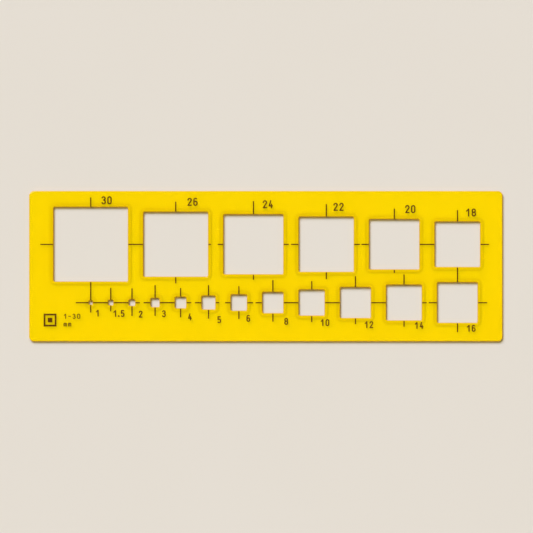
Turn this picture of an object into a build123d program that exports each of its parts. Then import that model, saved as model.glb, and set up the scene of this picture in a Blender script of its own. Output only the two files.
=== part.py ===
from build123d import *

import os
from dataclasses import dataclass
from math import asin, atan2, cos, degrees, hypot, radians, sin

# A squares template: one thin transparent plastic sheet with two rows of square openings,
# each row on an engraved centre line, with centre ticks and a size numeral at every opening.
# The sheet lies flat. +X runs along it, +Y across it and +Z up to the printed face.
# The origin is at the middle of the underside. All sizes are in millimetres.

# ---- Sheet ----
sheet_length = 195.0
sheet_width = 62.0
sheet_thickness = 1.2
sheet_corner_radius = 2.0
face_rim_round = 0.55  # round the printed face, and round each opening in it
underside_rim_round = 0.2

# ---- Rows of openings ----
left_margin = 10.4  # sheet edge to the nominal side of the first large square
right_margin = 9.6
top_margin = 7.0  # sheet edge to the nominal side of the largest square
bottom_margin = 8.0
line_allowance = 0.5  # an opening is this much over its nominal side, for the pen's line
opening_corner_radius = 0.6
smallest_corner_share = 0.25  # of the side, where the full corner radius would be too round

# ---- Step round each opening, under the sheet, that keeps ink from creeping ----
relief_width = 1.8
relief_depth = 0.35
relief_flank = 0.6  # the step's outer edge slopes over this much of its width

# ---- Engraved marks, filled with ink ----
ink_depth = 0.1
line_width = 0.52
large_lead_in = 5.5  # a centre line starts this far before its first opening
large_lead_out = 3.8  # and ends this far after its last opening
small_lead_in = 5.4
small_lead_out = 4.0


@dataclass
class Lettering:
    """The sizes of a run of numerals or letters."""

    height: float
    width: float  # of one character
    gap: float  # between two characters
    stroke: float


large_numerals = Lettering(height=3.35, width=1.85, gap=0.55, stroke=0.55)
small_numerals = Lettering(height=2.9, width=1.6, gap=0.5, stroke=0.5)

# ---- Range mark at the lower left: a square in a square, and two lines of lettering ----
mark_left = 6.0  # from the sheet's left edge
mark_bottom = 6.2  # from the sheet's bottom edge
mark_height = 5.3
mark_border = 0.75
mark_core = 1.9  # side of the filled square in the middle
mark_space = 2.9  # between the outer square and the lettering
mark_letters = Lettering(height=2.15, width=1.35, gap=0.5, stroke=0.36)
mark_text = ("1-30", "mm")

LINKED = None  # a tick that runs on as one line to the opening of the other row


@dataclass
class Square:
    """One square opening and the marks that belong to it."""

    side: float  # nominal side, which is also its numeral
    tick_above: float  # length of the centre tick above the opening
    tick_below: float
    numeral_offset: float  # from the centre tick to the left edge of the numeral
    numeral_space: float  # from the opening up or down to its numeral
    dash: float = 0.0  # the centre line's dash after the opening, before its gap
    gap: float = 0.0  # none: the centre line runs on to the next opening unbroken


large_squares = [
    Square(30, 4.1, LINKED, 4.4, 1.25),
    Square(26, 4.4, 2.8, 4.8, 2.6, dash=1.3, gap=2.7),
    Square(24, 5.6, 2.3, 3.8, 2.6, dash=2.3, gap=0.9),
    Square(22, 5.4, 3.1, 2.9, 2.55, dash=2.6, gap=0.6),
    Square(20, 4.5, 1.5, 4.45, 2.6),
    Square(18, 4.9, LINKED, 3.4, 2.2),
]
small_squares = [
    Square(1, LINKED, 3.3, 2.0, 2.1),
    Square(1.5, 5.1, 2.6, 0.95, 2.0),
    Square(2, 4.7, 4.2, 2.75, 2.0, dash=2.0, gap=1.5),
    Square(3, 5.5, 3.7, 2.8, 1.35),
    Square(4, 3.8, 3.8, 3.05, 2.1, dash=2.2, gap=1.4),
    Square(5, 4.5, 3.8, 3.55, 2.8, dash=1.7, gap=2.4),
    Square(6, 3.6, 3.5, 3.1, 1.75, dash=2.6, gap=1.0),
    Square(8, 5.1, 3.5, 4.7, 2.0),
    Square(10, 3.7, 2.75, 3.55, 1.5),
    Square(12, 4.7, 2.6, 3.65, 1.35),
    Square(14, 4.4, 2.65, 4.3, 0.65, dash=2.1, gap=0.8),
    Square(16, LINKED, 3.9, 3.75, 0.85),
]

# ---- Worked-out positions ----
sheet_left = -sheet_length / 2
sheet_top = sheet_width / 2
sheet_bottom = -sheet_width / 2
ink_floor = sheet_thickness - ink_depth
upper_row_y = sheet_top - top_margin - large_squares[0].side / 2
lower_row_y = sheet_bottom + bottom_margin + small_squares[-1].side / 2


def opening_side(square):
    return square.side + line_allowance


def opening_corner(side):
    return min(opening_corner_radius, smallest_corner_share * side)


def centres_along(squares, first_centre, last_centre):
    """The squares' centres, with the same web between every two nominal squares."""
    inner_sides = sum(square.side for square in squares[1:-1])
    end_halves = (squares[0].side + squares[-1].side) / 2
    web = (last_centre - first_centre - inner_sides - end_halves) / (len(squares) - 1)
    centres = [first_centre]
    for before, after in zip(squares, squares[1:]):
        centres.append(centres[-1] + before.side / 2 + web + after.side / 2)
    return centres


# The small squares stand under the large ones, so both rows share their end centres.
first_centre = sheet_left + left_margin + large_squares[0].side / 2
last_centre = sheet_left + sheet_length - right_margin - large_squares[-1].side / 2
large_centres = centres_along(large_squares, first_centre, last_centre)
small_centres = centres_along(small_squares, first_centre, last_centre)


# ---- Plate ----

rows = [(square, x, upper_row_y) for square, x in zip(large_squares, large_centres)]
rows += [(square, x, lower_row_y) for square, x in zip(small_squares, small_centres)]


def cut_plate():
    """The plate with its openings and rounded rims, before it is stepped and engraved."""
    outline = RectangleRounded(sheet_length, sheet_width, sheet_corner_radius)
    cut = extrude(outline, sheet_thickness)
    cut = fillet(cut.edges().group_by(Axis.Z)[0], underside_rim_round)
    for square, x, y in rows:
        side = opening_side(square)
        opening = RectangleRounded(side, side, opening_corner(side))
        cut -= Pos(x, y) * extrude(opening, sheet_thickness)
    return fillet(cut.edges().group_by(Axis.Z)[-1], face_rim_round)


plate = cut_plate()


# ---- Numerals and letters, each a list of pen strokes in a box w wide and h high ----


def loop_width(w, h):
    """A loop is a little higher than it is wide."""
    return min(w, 0.95 * h)


def loop_strokes(foot, w, h):
    """A closed loop with round ends."""
    w = loop_width(w, h)
    r = w / 2
    sides = [Line((x, foot + r), (x, foot + h - r)) for x in (0, w)]
    top = CenterArc((r, foot + h - r), r, 0, 180)
    return sides + [top, CenterArc((r, foot + r), r, 180, 180)]


def bow_strokes(foot, w, h, start, end):
    """The right side of a loop, from one angle on its top to another on its foot."""
    w = loop_width(w, h)
    r = w / 2
    top = CenterArc((r, foot + h - r), r, start, -start)
    side = Line((w, foot + h - r), (w, foot + r))
    return [top, side, CenterArc((r, foot + r), r, 0, -end)]


def zero(w, h):
    return loop_strokes(0, w, h)


def one(w, h):
    stem = 0.7 * w
    return [Line((stem, 0), (stem, h)), Line((stem, h), (0.1 * w, 0.72 * h))]


def two(w, h):
    # The diagonal leaves the foot at a tangent to the round top.
    r = w / 2
    reach = hypot(r, h - r)
    slope = atan2(h - r, r) - asin(r / reach)
    run = reach * cos(asin(r / reach))
    touch = (run * cos(slope), run * sin(slope))
    sweep = degrees(slope) - 90 - 180
    return [CenterArc((r, h - r), r, 180, sweep), Line(touch, (0, 0)), Line((0, 0), (w, 0))]


def three(w, h):
    waist = 0.54 * h
    return bow_strokes(waist, w, h - waist, 160, 90) + bow_strokes(0, w, waist, 90, 160)


def four(w, h):
    bar = 0.27 * h
    stem = 0.72 * w
    diagonal = Line((0.5 * w, h), (0, bar))
    return [diagonal, Line((0, bar), (w, bar)), Line((stem, 0), (stem, 0.52 * h))]


def five(w, h):
    bowl = 0.6 * h
    r = loop_width(w, bowl) / 2
    start = 140
    shoulder = (r + r * cos(radians(start)), bowl - r + r * sin(radians(start)))
    top_bar = Line((0.92 * w, h), (0.12 * w, h))
    return [top_bar, Line((0.12 * w, h), shoulder)] + bow_strokes(0, w, bowl, start, 145)


def six(w, h):
    bowl = 0.58 * h
    r = loop_width(w, bowl) / 2
    back = [Line((0, r), (0, h - r)), CenterArc((r, h - r), r, 50, 130)]
    return loop_strokes(0, w, bowl) + back


def eight(w, h):
    waist = 0.54 * h
    return loop_strokes(0, w, waist) + loop_strokes(waist, w, h - waist)


def dash(w, h):
    return [Line((0.1 * w, h / 2), (0.9 * w, h / 2))]


def letter_m(w, h):
    arch = w / 4
    spring = 0.68 * h - arch
    legs = [Line((x, 0), (x, spring)) for x in (0, w / 2, w)]
    return legs + [CenterArc((x, spring), arch, 0, 180) for x in (arch, 3 * arch)]


strokes_of = {
    "0": zero,
    "1": one,
    "2": two,
    "3": three,
    "4": four,
    "5": five,
    "6": six,
    "8": eight,
    "-": dash,
    "m": letter_m,
}


def lettering(text, sizes):
    """Text as one flat outline, with its lower left corner at the origin."""
    stroke = sizes.stroke
    drawn = Sketch()
    left = 0.0
    for character in text:
        if character == ".":
            # A point stands on the base line, in the space between two numerals.
            point = Circle(0.75 * stroke)
            drawn += Pos(left - sizes.gap / 2 + stroke, 0.75 * stroke) * point
            left += 2 * stroke
            continue
        box = Pos(left + stroke / 2, stroke / 2)
        for curve in strokes_of[character](sizes.width - stroke, sizes.height - stroke):
            drawn += box * SlotArc(curve, stroke)
        left += sizes.width + sizes.gap
    return drawn


# ---- Ink ----


def ink(outline):
    """Ink of this flat outline, filling its engraving flush with the face and its rounded rims."""
    return extrude(Pos(0, 0, ink_floor) * outline, ink_depth) & plate


def bar_between(x_start, y_start, x_end, y_end):
    return Pos((x_start + x_end) / 2, (y_start + y_end) / 2) * Rectangle(
        abs(x_end - x_start), abs(y_end - y_start)
    )


def level_line(x_start, x_end, y):
    return bar_between(x_start, y - line_width / 2, x_end, y + line_width / 2)


def upright_line(x, y_start, y_end):
    return bar_between(x - line_width / 2, y_start, x + line_width / 2, y_end)


def centre_line(squares, centres, row_y, lead_in, lead_out):
    """The dashes of a row's centre line, which stops at every opening."""
    halves = [opening_side(square) / 2 for square in squares]
    start = centres[0] - halves[0]
    end = centres[-1] + halves[-1]
    dashes = level_line(start - lead_in, start, row_y) + level_line(end, end + lead_out, row_y)
    for index, square in enumerate(squares[:-1]):
        leaves = centres[index] + halves[index]
        arrives = centres[index + 1] - halves[index + 1]
        if square.gap:
            dashes += level_line(leaves, leaves + square.dash, row_y)
            dashes += level_line(leaves + square.dash + square.gap, arrives, row_y)
        else:
            dashes += level_line(leaves, arrives, row_y)
    return ink(dashes)


def ticks(square, x, row_y):
    """The centre ticks above and below an opening, without a linked one."""
    half = opening_side(square) / 2
    drawn = Sketch()
    if square.tick_above is not LINKED:
        drawn += upright_line(x, row_y + half, row_y + half + square.tick_above)
    if square.tick_below is not LINKED:
        drawn += upright_line(x, row_y - half, row_y - half - square.tick_below)
    return ink(drawn)


def numeral(square, sizes, x, foot_y):
    drawn = lettering(f"{square.side:g}", sizes)
    return ink(Pos(x + square.numeral_offset, foot_y) * drawn)


def link_line(upper, lower, x):
    """The line that joins a large opening to the small one below it."""
    high = upper_row_y - opening_side(upper) / 2
    low = lower_row_y + opening_side(lower) / 2
    return ink(upright_line(x, low, high))


def range_mark():
    inside = mark_height - 2 * mark_border
    squares = Rectangle(mark_height, mark_height) - Rectangle(inside, inside)
    squares += Rectangle(mark_core, mark_core)
    drawn = Pos(mark_height / 2, mark_height / 2) * squares
    line_rises = (mark_height - mark_letters.height, 0)
    for text, rise in zip(mark_text, line_rises):
        drawn += Pos(mark_height + mark_space, rise) * lettering(text, mark_letters)
    return ink(Pos(sheet_left + mark_left, sheet_bottom + mark_bottom) * drawn)


marks = {
    "centre_line_large": centre_line(
        large_squares, large_centres, upper_row_y, large_lead_in, large_lead_out
    ),
    "centre_line_small": centre_line(
        small_squares, small_centres, lower_row_y, small_lead_in, small_lead_out
    ),
    "link_line_left": link_line(large_squares[0], small_squares[0], first_centre),
    "link_line_right": link_line(large_squares[-1], small_squares[-1], last_centre),
    "range_mark": range_mark(),
}
for square, x in zip(large_squares, large_centres):
    foot_y = upper_row_y + opening_side(square) / 2 + square.numeral_space
    marks[f"numeral_{square.side:g}"] = numeral(square, large_numerals, x, foot_y)
    marks[f"ticks_{square.side:g}"] = ticks(square, x, upper_row_y)
for square, x in zip(small_squares, small_centres):
    name = f"{square.side:g}".replace(".", "_")
    top_y = lower_row_y - opening_side(square) / 2 - square.numeral_space
    foot_y = top_y - small_numerals.height
    marks[f"numeral_{name}"] = numeral(square, small_numerals, x, foot_y)
    marks[f"ticks_{name}"] = ticks(square, x, lower_row_y)


# ---- Sheet ----


def relief_cut(side):
    """The step under the sheet, whose outer edge slopes up to its ceiling."""
    wide = side + 2 * relief_width
    narrow = wide - 2 * relief_flank
    wide_corner = opening_corner(side) + relief_width
    foot = RectangleRounded(wide, wide, wide_corner)
    ceiling = RectangleRounded(narrow, narrow, wide_corner - relief_flank)
    return loft([foot, Pos(0, 0, relief_depth) * ceiling])


def template_sheet():
    sheet = plate
    for square, x, y in rows:
        sheet -= Pos(x, y) * relief_cut(opening_side(square))
    for mark in marks.values():
        sheet -= mark
    return sheet


nodes = {"template_sheet": template_sheet(), **marks}

os.makedirs("parts", exist_ok=True)
for name, piece in nodes.items():
    export_step(piece, f"parts/{name}.step")
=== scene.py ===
from math import radians

import bmesh
import bpy
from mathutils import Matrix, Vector


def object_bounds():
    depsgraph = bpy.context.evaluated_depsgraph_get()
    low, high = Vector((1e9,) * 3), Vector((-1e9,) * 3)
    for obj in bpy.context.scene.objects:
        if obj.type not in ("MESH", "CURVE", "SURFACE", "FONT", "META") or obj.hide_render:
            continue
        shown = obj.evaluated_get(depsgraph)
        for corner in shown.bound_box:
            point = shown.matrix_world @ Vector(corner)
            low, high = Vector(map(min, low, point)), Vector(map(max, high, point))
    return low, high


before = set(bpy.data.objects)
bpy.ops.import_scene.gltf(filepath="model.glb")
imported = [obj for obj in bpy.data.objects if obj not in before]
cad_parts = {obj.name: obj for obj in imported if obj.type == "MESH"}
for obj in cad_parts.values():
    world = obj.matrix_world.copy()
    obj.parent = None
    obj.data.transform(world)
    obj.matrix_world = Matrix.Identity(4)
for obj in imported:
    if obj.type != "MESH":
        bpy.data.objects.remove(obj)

cad_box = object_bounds()
MM = 0.001

# ---- The sheet ----
# One thin plate of acrylic, dyed amber yellow all through. Its faces are polished and its rims and
# cut edges duller, with painted shade darkening the rims and edges. The step moulded under it round
# each opening has a matt ceiling, and painted shade on that ceiling and on the step's sloped side
# shows as a dull border with a darker line at its outer side.
AMBER = "#ffea00"
AMBER_DEEP = "#ffe400"
AMBER_STEP_SHADE = "#cc9e00"
AMBER_FLANK_SHADE = "#b07c00"  # painted shade on the sloped side of the step, darker than its ceiling
AMBER_EDGE_SHADE = "#cc9a04"
SHADOW_TINT = (0.45, 0.41, 0.1, 1)  # of the light that has passed through the plate
ACRYLIC_IOR = 1.49
CLEAR_FACE, CLEAR_STEP = 0.5, 0.1  # share of the light that passes straight in
POLISHED, SMUDGED, HAIRLINE, MATT = 0.08, 0.2, 0.06, 0.45  # roughness; a hairline adds to it
DYE_PATCH = 35 * MM  # a slow change of depth in the dye
SMUDGE = 9 * MM  # marks left by fingers and cloth
HAIRLINE_LENGTH = 25 * MM
HAIRLINE_STRETCH = 30  # how many times longer than wide
HAIRLINE_ANGLES = (12, 74, 151)
STEP_HEIGHT = 0.36 * MM  # just over the ceiling of the step
UNDERSIDE = 0.01 * MM
LEVEL, SLOPED = 0.97, 0.9  # how far a face looks straight up or down, where 1 is all the way
RIM_STARTS, RIM_ENDS = 0.95, 0.5


def linear(hex_colour):
    """An sRGB hex colour as linear red, green, blue and alpha."""
    channels = []
    for start in (1, 3, 5):
        value = int(hex_colour[start:start + 2], 16) / 255
        channels.append(value / 12.92 if value <= 0.04045 else ((value + 0.055) / 1.055) ** 2.4)
    return (*channels, 1.0)


def new_material(name):
    """A material with an empty node tree, and that tree."""
    material = bpy.data.materials.new(name)
    material.use_nodes = True
    material.node_tree.nodes.clear()
    return material, material.node_tree


def add_node(tree, kind, settings=None, values=None, links=None):
    """Adds a node with its settings, the values of its sockets, and what is linked to them."""
    node = tree.nodes.new(kind)
    for name, value in (settings or {}).items():
        setattr(node, name, value)
    for socket, value in (values or {}).items():
        node.inputs[socket].default_value = value
    for socket, source in (links or {}).items():
        tree.links.new(source, node.inputs[socket])
    return node


# Dyed acrylic, polished: clear gloss over a slightly milky yellow, with a few hairlines and
# smudges that only the reflections show, matt where it is cut or stepped, and painted shade
# that darkens the rims, the walls and the step under the plate.
acrylic, tree = new_material("dyed_acrylic")
COLOUR_A, COLOUR_B, COLOUR_OUT = 6, 7, 2  # the colour sockets of a Mix node
place = add_node(tree, "ShaderNodeTexCoord").outputs["Object"]
height = add_node(tree, "ShaderNodeSeparateXYZ", links={0: place}).outputs["Z"]
above = add_node(tree, "ShaderNodeMath", {"operation": "GREATER_THAN"}, {1: UNDERSIDE}, {0: height})
below = add_node(tree, "ShaderNodeMath", {"operation": "LESS_THAN"}, {1: STEP_HEIGHT}, {0: height})
step = add_node(
    tree, "ShaderNodeMath", {"operation": "MULTIPLY"}, None,
    {0: above.outputs[0], 1: below.outputs[0]},
).outputs[0]
facing = add_node(tree, "ShaderNodeNewGeometry").outputs["Normal"]
upward = add_node(tree, "ShaderNodeSeparateXYZ", links={0: facing}).outputs["Z"]
tilt = add_node(tree, "ShaderNodeMath", {"operation": "ABSOLUTE"}, None, {0: upward})
edge = add_node(
    tree, "ShaderNodeMapRange", None, {"From Min": RIM_STARTS, "From Max": RIM_ENDS},
    {"Value": tilt.outputs[0]},
).outputs[0]
dye = add_node(
    tree, "ShaderNodeTexNoise", None, {"Scale": 1 / DYE_PATCH, "Detail": 1.0}, {"Vector": place}
)
dyed = add_node(
    tree, "ShaderNodeMix", {"data_type": "RGBA"},
    {COLOUR_A: linear(AMBER), COLOUR_B: linear(AMBER_DEEP)}, {0: dye.outputs["Fac"]},
).outputs[COLOUR_OUT]
# Painted shade: the rims and cut walls are turned a darker amber; their matt roughness is real.
edge_shaded = add_node(
    tree, "ShaderNodeMix", {"data_type": "RGBA"}, {COLOUR_B: linear(AMBER_EDGE_SHADE)},
    {0: edge, COLOUR_A: dyed},
).outputs[COLOUR_OUT]
flank = add_node(
    tree, "ShaderNodeMapRange", None, {"From Min": LEVEL, "From Max": SLOPED},
    {"Value": tilt.outputs[0]},
).outputs[0]
# Painted shade: the ceiling of the step is turned a darker amber, and its sloped side darker still.
step_shade = add_node(
    tree, "ShaderNodeMix", {"data_type": "RGBA"},
    {COLOUR_A: linear(AMBER_STEP_SHADE), COLOUR_B: linear(AMBER_FLANK_SHADE)}, {0: flank},
).outputs[COLOUR_OUT]
# The dye with the painted shade of the step laid over it.
shaded_dye = add_node(
    tree, "ShaderNodeMix", {"data_type": "RGBA"}, None, {0: step, COLOUR_A: edge_shaded, COLOUR_B: step_shade}
).outputs[COLOUR_OUT]
clear = add_node(
    tree, "ShaderNodeMapRange", None, {"To Min": CLEAR_FACE, "To Max": CLEAR_STEP}, {"Value": step}
)
smudge = add_node(
    tree, "ShaderNodeTexNoise", None, {"Scale": 1 / SMUDGE, "Detail": 3.0}, {"Vector": place}
)
roughness = add_node(
    tree, "ShaderNodeMapRange", None,
    {"From Min": 0.35, "From Max": 0.75, "To Min": POLISHED, "To Max": SMUDGED},
    {"Value": smudge.outputs["Fac"]},
).outputs[0]
for angle in HAIRLINE_ANGLES:
    turned = add_node(
        tree, "ShaderNodeMapping", None,
        {"Rotation": (0, 0, radians(angle)), "Scale": (1, HAIRLINE_STRETCH, 1)}, {"Vector": place},
    )
    grain = add_node(
        tree, "ShaderNodeTexNoise", None, {"Scale": 1 / HAIRLINE_LENGTH, "Detail": 2.0},
        {"Vector": turned.outputs[0]},
    )
    # Only the peaks of the noise are hairlines, so there are few of them.
    hairline = add_node(
        tree, "ShaderNodeMapRange", None, {"From Min": 0.66, "From Max": 0.7, "To Max": HAIRLINE},
        {"Value": grain.outputs["Fac"]},
    )
    roughness = add_node(
        tree, "ShaderNodeMath", {"operation": "ADD"}, None, {0: roughness, 1: hairline.outputs[0]}
    ).outputs[0]
matt = add_node(tree, "ShaderNodeMath", {"operation": "MAXIMUM"}, None, {0: step, 1: edge})
roughness = add_node(
    tree, "ShaderNodeMix", None, {3: MATT}, {0: matt.outputs[0], 2: roughness}
).outputs[0]
plastic = add_node(
    tree, "ShaderNodeBsdfPrincipled", None, {"IOR": ACRYLIC_IOR},
    {"Base Color": shaded_dye, "Roughness": roughness, "Transmission Weight": clear.outputs[0]},
)
# A lamp's light passes through the plate and leaves amber, so its shadows are not black.
let_through = add_node(tree, "ShaderNodeBsdfTransparent", None, {"Color": SHADOW_TINT})
lamp = add_node(tree, "ShaderNodeLightPath")
shown = add_node(
    tree, "ShaderNodeMixShader", None, None,
    {0: lamp.outputs["Is Shadow Ray"], 1: plastic.outputs[0], 2: let_through.outputs[0]},
)
add_node(tree, "ShaderNodeOutputMaterial", None, None, {"Surface": shown.outputs[0]})

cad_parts["template_sheet"].material_slots[0].material = acrylic

# ---- The marks ----
# Centre lines, ticks, numerals and the range mark: shallow engraving in the face, filled with
# dark brown screen ink that was wiped level with the plastic.
INK = "#522f05"
INK_THIN = "#7a5010"
INK_GRAIN = 0.35 * MM
INK_SMOOTH, INK_DULL = 0.7, 0.9  # roughness
SKIN_RELIEF = 0.02 * MM

# Screen ink: dark brown, lighter where it lies thin, with a dull and slightly rough skin.
ink, tree = new_material("screen_ink")
place = add_node(tree, "ShaderNodeTexCoord").outputs["Object"]
cover = add_node(
    tree, "ShaderNodeTexNoise", None, {"Scale": 1 / INK_GRAIN, "Detail": 3.0}, {"Vector": place}
).outputs["Fac"]
thin = add_node(
    tree, "ShaderNodeMapRange", None, {"From Min": 0.45, "From Max": 0.7}, {"Value": cover}
)
inked = add_node(
    tree, "ShaderNodeMix", {"data_type": "RGBA"},
    {COLOUR_A: linear(INK), COLOUR_B: linear(INK_THIN)}, {0: thin.outputs[0]},
).outputs[COLOUR_OUT]
dull = add_node(
    tree, "ShaderNodeMapRange", None, {"To Min": INK_SMOOTH, "To Max": INK_DULL}, {"Value": cover}
)
skin = add_node(
    tree, "ShaderNodeBump", None, {"Strength": 0.25, "Distance": SKIN_RELIEF}, {"Height": cover}
)
ink_shader = add_node(
    tree, "ShaderNodeBsdfPrincipled", None, {"IOR": 1.5, "Specular IOR Level": 0.25},
    {"Base Color": inked, "Roughness": dull.outputs[0], "Normal": skin.outputs[0]},
)
add_node(tree, "ShaderNodeOutputMaterial", None, None, {"Surface": ink_shader.outputs[0]})

for name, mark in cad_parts.items():
    if name != "template_sheet":
        mark.material_slots[0].material = ink

# ---- The floor, the light and the camera ----
# A pale matt floor, broad soft light from the upper left and a low even fill, seen from
# straight above.
FLOOR = "#d8d1c7"
FLOOR_SHADE = "#d6cfc4"
FLOOR_SIZE = 40.0  # so wide that it fills the view even from near the floor
FLOOR_GAP = 0.02 * MM  # keeps the floor clear of the sheet's underside
FLOOR_CLOUDS = 12.0  # faint patches in the paint, per metre

floor_mesh = bpy.data.meshes.new("studio_floor")
grid = bmesh.new()
bmesh.ops.create_grid(grid, x_segments=1, y_segments=1, size=FLOOR_SIZE / 2)
bmesh.ops.translate(grid, verts=grid.verts, vec=(0, 0, cad_box[0][2] - FLOOR_GAP))
grid.to_mesh(floor_mesh)
grid.free()
studio_floor = bpy.data.objects.new("studio_floor", floor_mesh)
bpy.context.scene.collection.objects.link(studio_floor)

# Painted board: an even, chalky matt.
board, tree = new_material("painted_board")
place = add_node(tree, "ShaderNodeTexCoord").outputs["Object"]
cloud = add_node(
    tree, "ShaderNodeTexNoise", None, {"Scale": FLOOR_CLOUDS, "Detail": 3.0}, {"Vector": place}
)
painted = add_node(
    tree, "ShaderNodeMix", {"data_type": "RGBA"},
    {COLOUR_A: linear(FLOOR), COLOUR_B: linear(FLOOR_SHADE)}, {0: cloud.outputs["Fac"]},
).outputs[COLOUR_OUT]
board_shader = add_node(
    tree, "ShaderNodeBsdfPrincipled", None, {"Roughness": 0.9, "Specular IOR Level": 0.1},
    {"Base Color": painted},
)
add_node(tree, "ShaderNodeOutputMaterial", None, None, {"Surface": board_shader.outputs[0]})
floor_mesh.materials.append(board)

LAMP_FROM = Vector((-0.75, 1.25, 1.35))
LAMP_ANGLE = 35  # how wide the lamp looks, in degrees
LAMP_STRENGTH = 4.35
SHEEN_STRENGTH = 0.4


def add_lamp(name, energy, mirrored):
    """A broad distant lamp, which the glossy face either mirrors or does not."""
    light = bpy.data.lights.new(name, "SUN")
    light.energy = energy
    light.angle = radians(LAMP_ANGLE)
    lamp_object = bpy.data.objects.new(name, light)
    lamp_object.rotation_mode = "QUATERNION"
    lamp_object.rotation_quaternion = LAMP_FROM.to_track_quat("Z", "Y")
    lamp_object.visible_glossy = mirrored
    bpy.context.scene.collection.objects.link(lamp_object)


# Nearly all the light is a lamp the face does not mirror. A weak one beside it gives the sheen.
add_lamp("soft_lamp", LAMP_STRENGTH, False)
add_lamp("sheen_lamp", SHEEN_STRENGTH, True)

# The room is dim straight above, where the glossy face would mirror it, brighter all round, and
# as pale as the floor at the horizon.
# Each line is how high, from 0 at the horizon to 1 straight above, and the light there.
ROOM_LIGHT = (
    (0.03, (0.77, 0.72, 0.65, 1)),
    (0.1, (0.28, 0.28, 0.28, 1)),
    (0.3, (0.28, 0.28, 0.28, 1)),
    (0.9, (0.03, 0.03, 0.03, 1)),
)
room = bpy.data.worlds.new("room")
room.use_nodes = True
tree = room.node_tree
ray = add_node(tree, "ShaderNodeTexCoord").outputs["Generated"]
rise = add_node(tree, "ShaderNodeSeparateXYZ", links={0: ray}).outputs["Z"]
fill = add_node(tree, "ShaderNodeValToRGB", links={0: rise})
stops = fill.color_ramp.elements
for index, (how_high, light_there) in enumerate(ROOM_LIGHT):
    stop = stops[index] if index < len(stops) else stops.new(how_high)
    stop.position = how_high
    stop.color = light_there
tree.links.new(fill.outputs["Color"], tree.nodes["Background"].inputs["Color"])
bpy.context.scene.world = room
bpy.context.scene.view_settings.view_transform = "Standard"

VIEW_WIDTH = 219.5 * MM
VIEW_OFFSET = Vector((0.27, -0.09, 0)) * MM  # the sheet lies a touch off the middle of the view
LENS_LENGTH = 400.0  # so long that the openings' walls show no slant
lens = bpy.data.cameras.new("camera")
lens.lens = LENS_LENGTH
camera = bpy.data.objects.new("camera", lens)
middle = (Vector(cad_box[0]) + Vector(cad_box[1])) / 2
view_height = VIEW_WIDTH * LENS_LENGTH / lens.sensor_width
camera.location = middle + VIEW_OFFSET + Vector((0, 0, view_height))
bpy.context.scene.collection.objects.link(camera)
bpy.context.scene.camera = camera
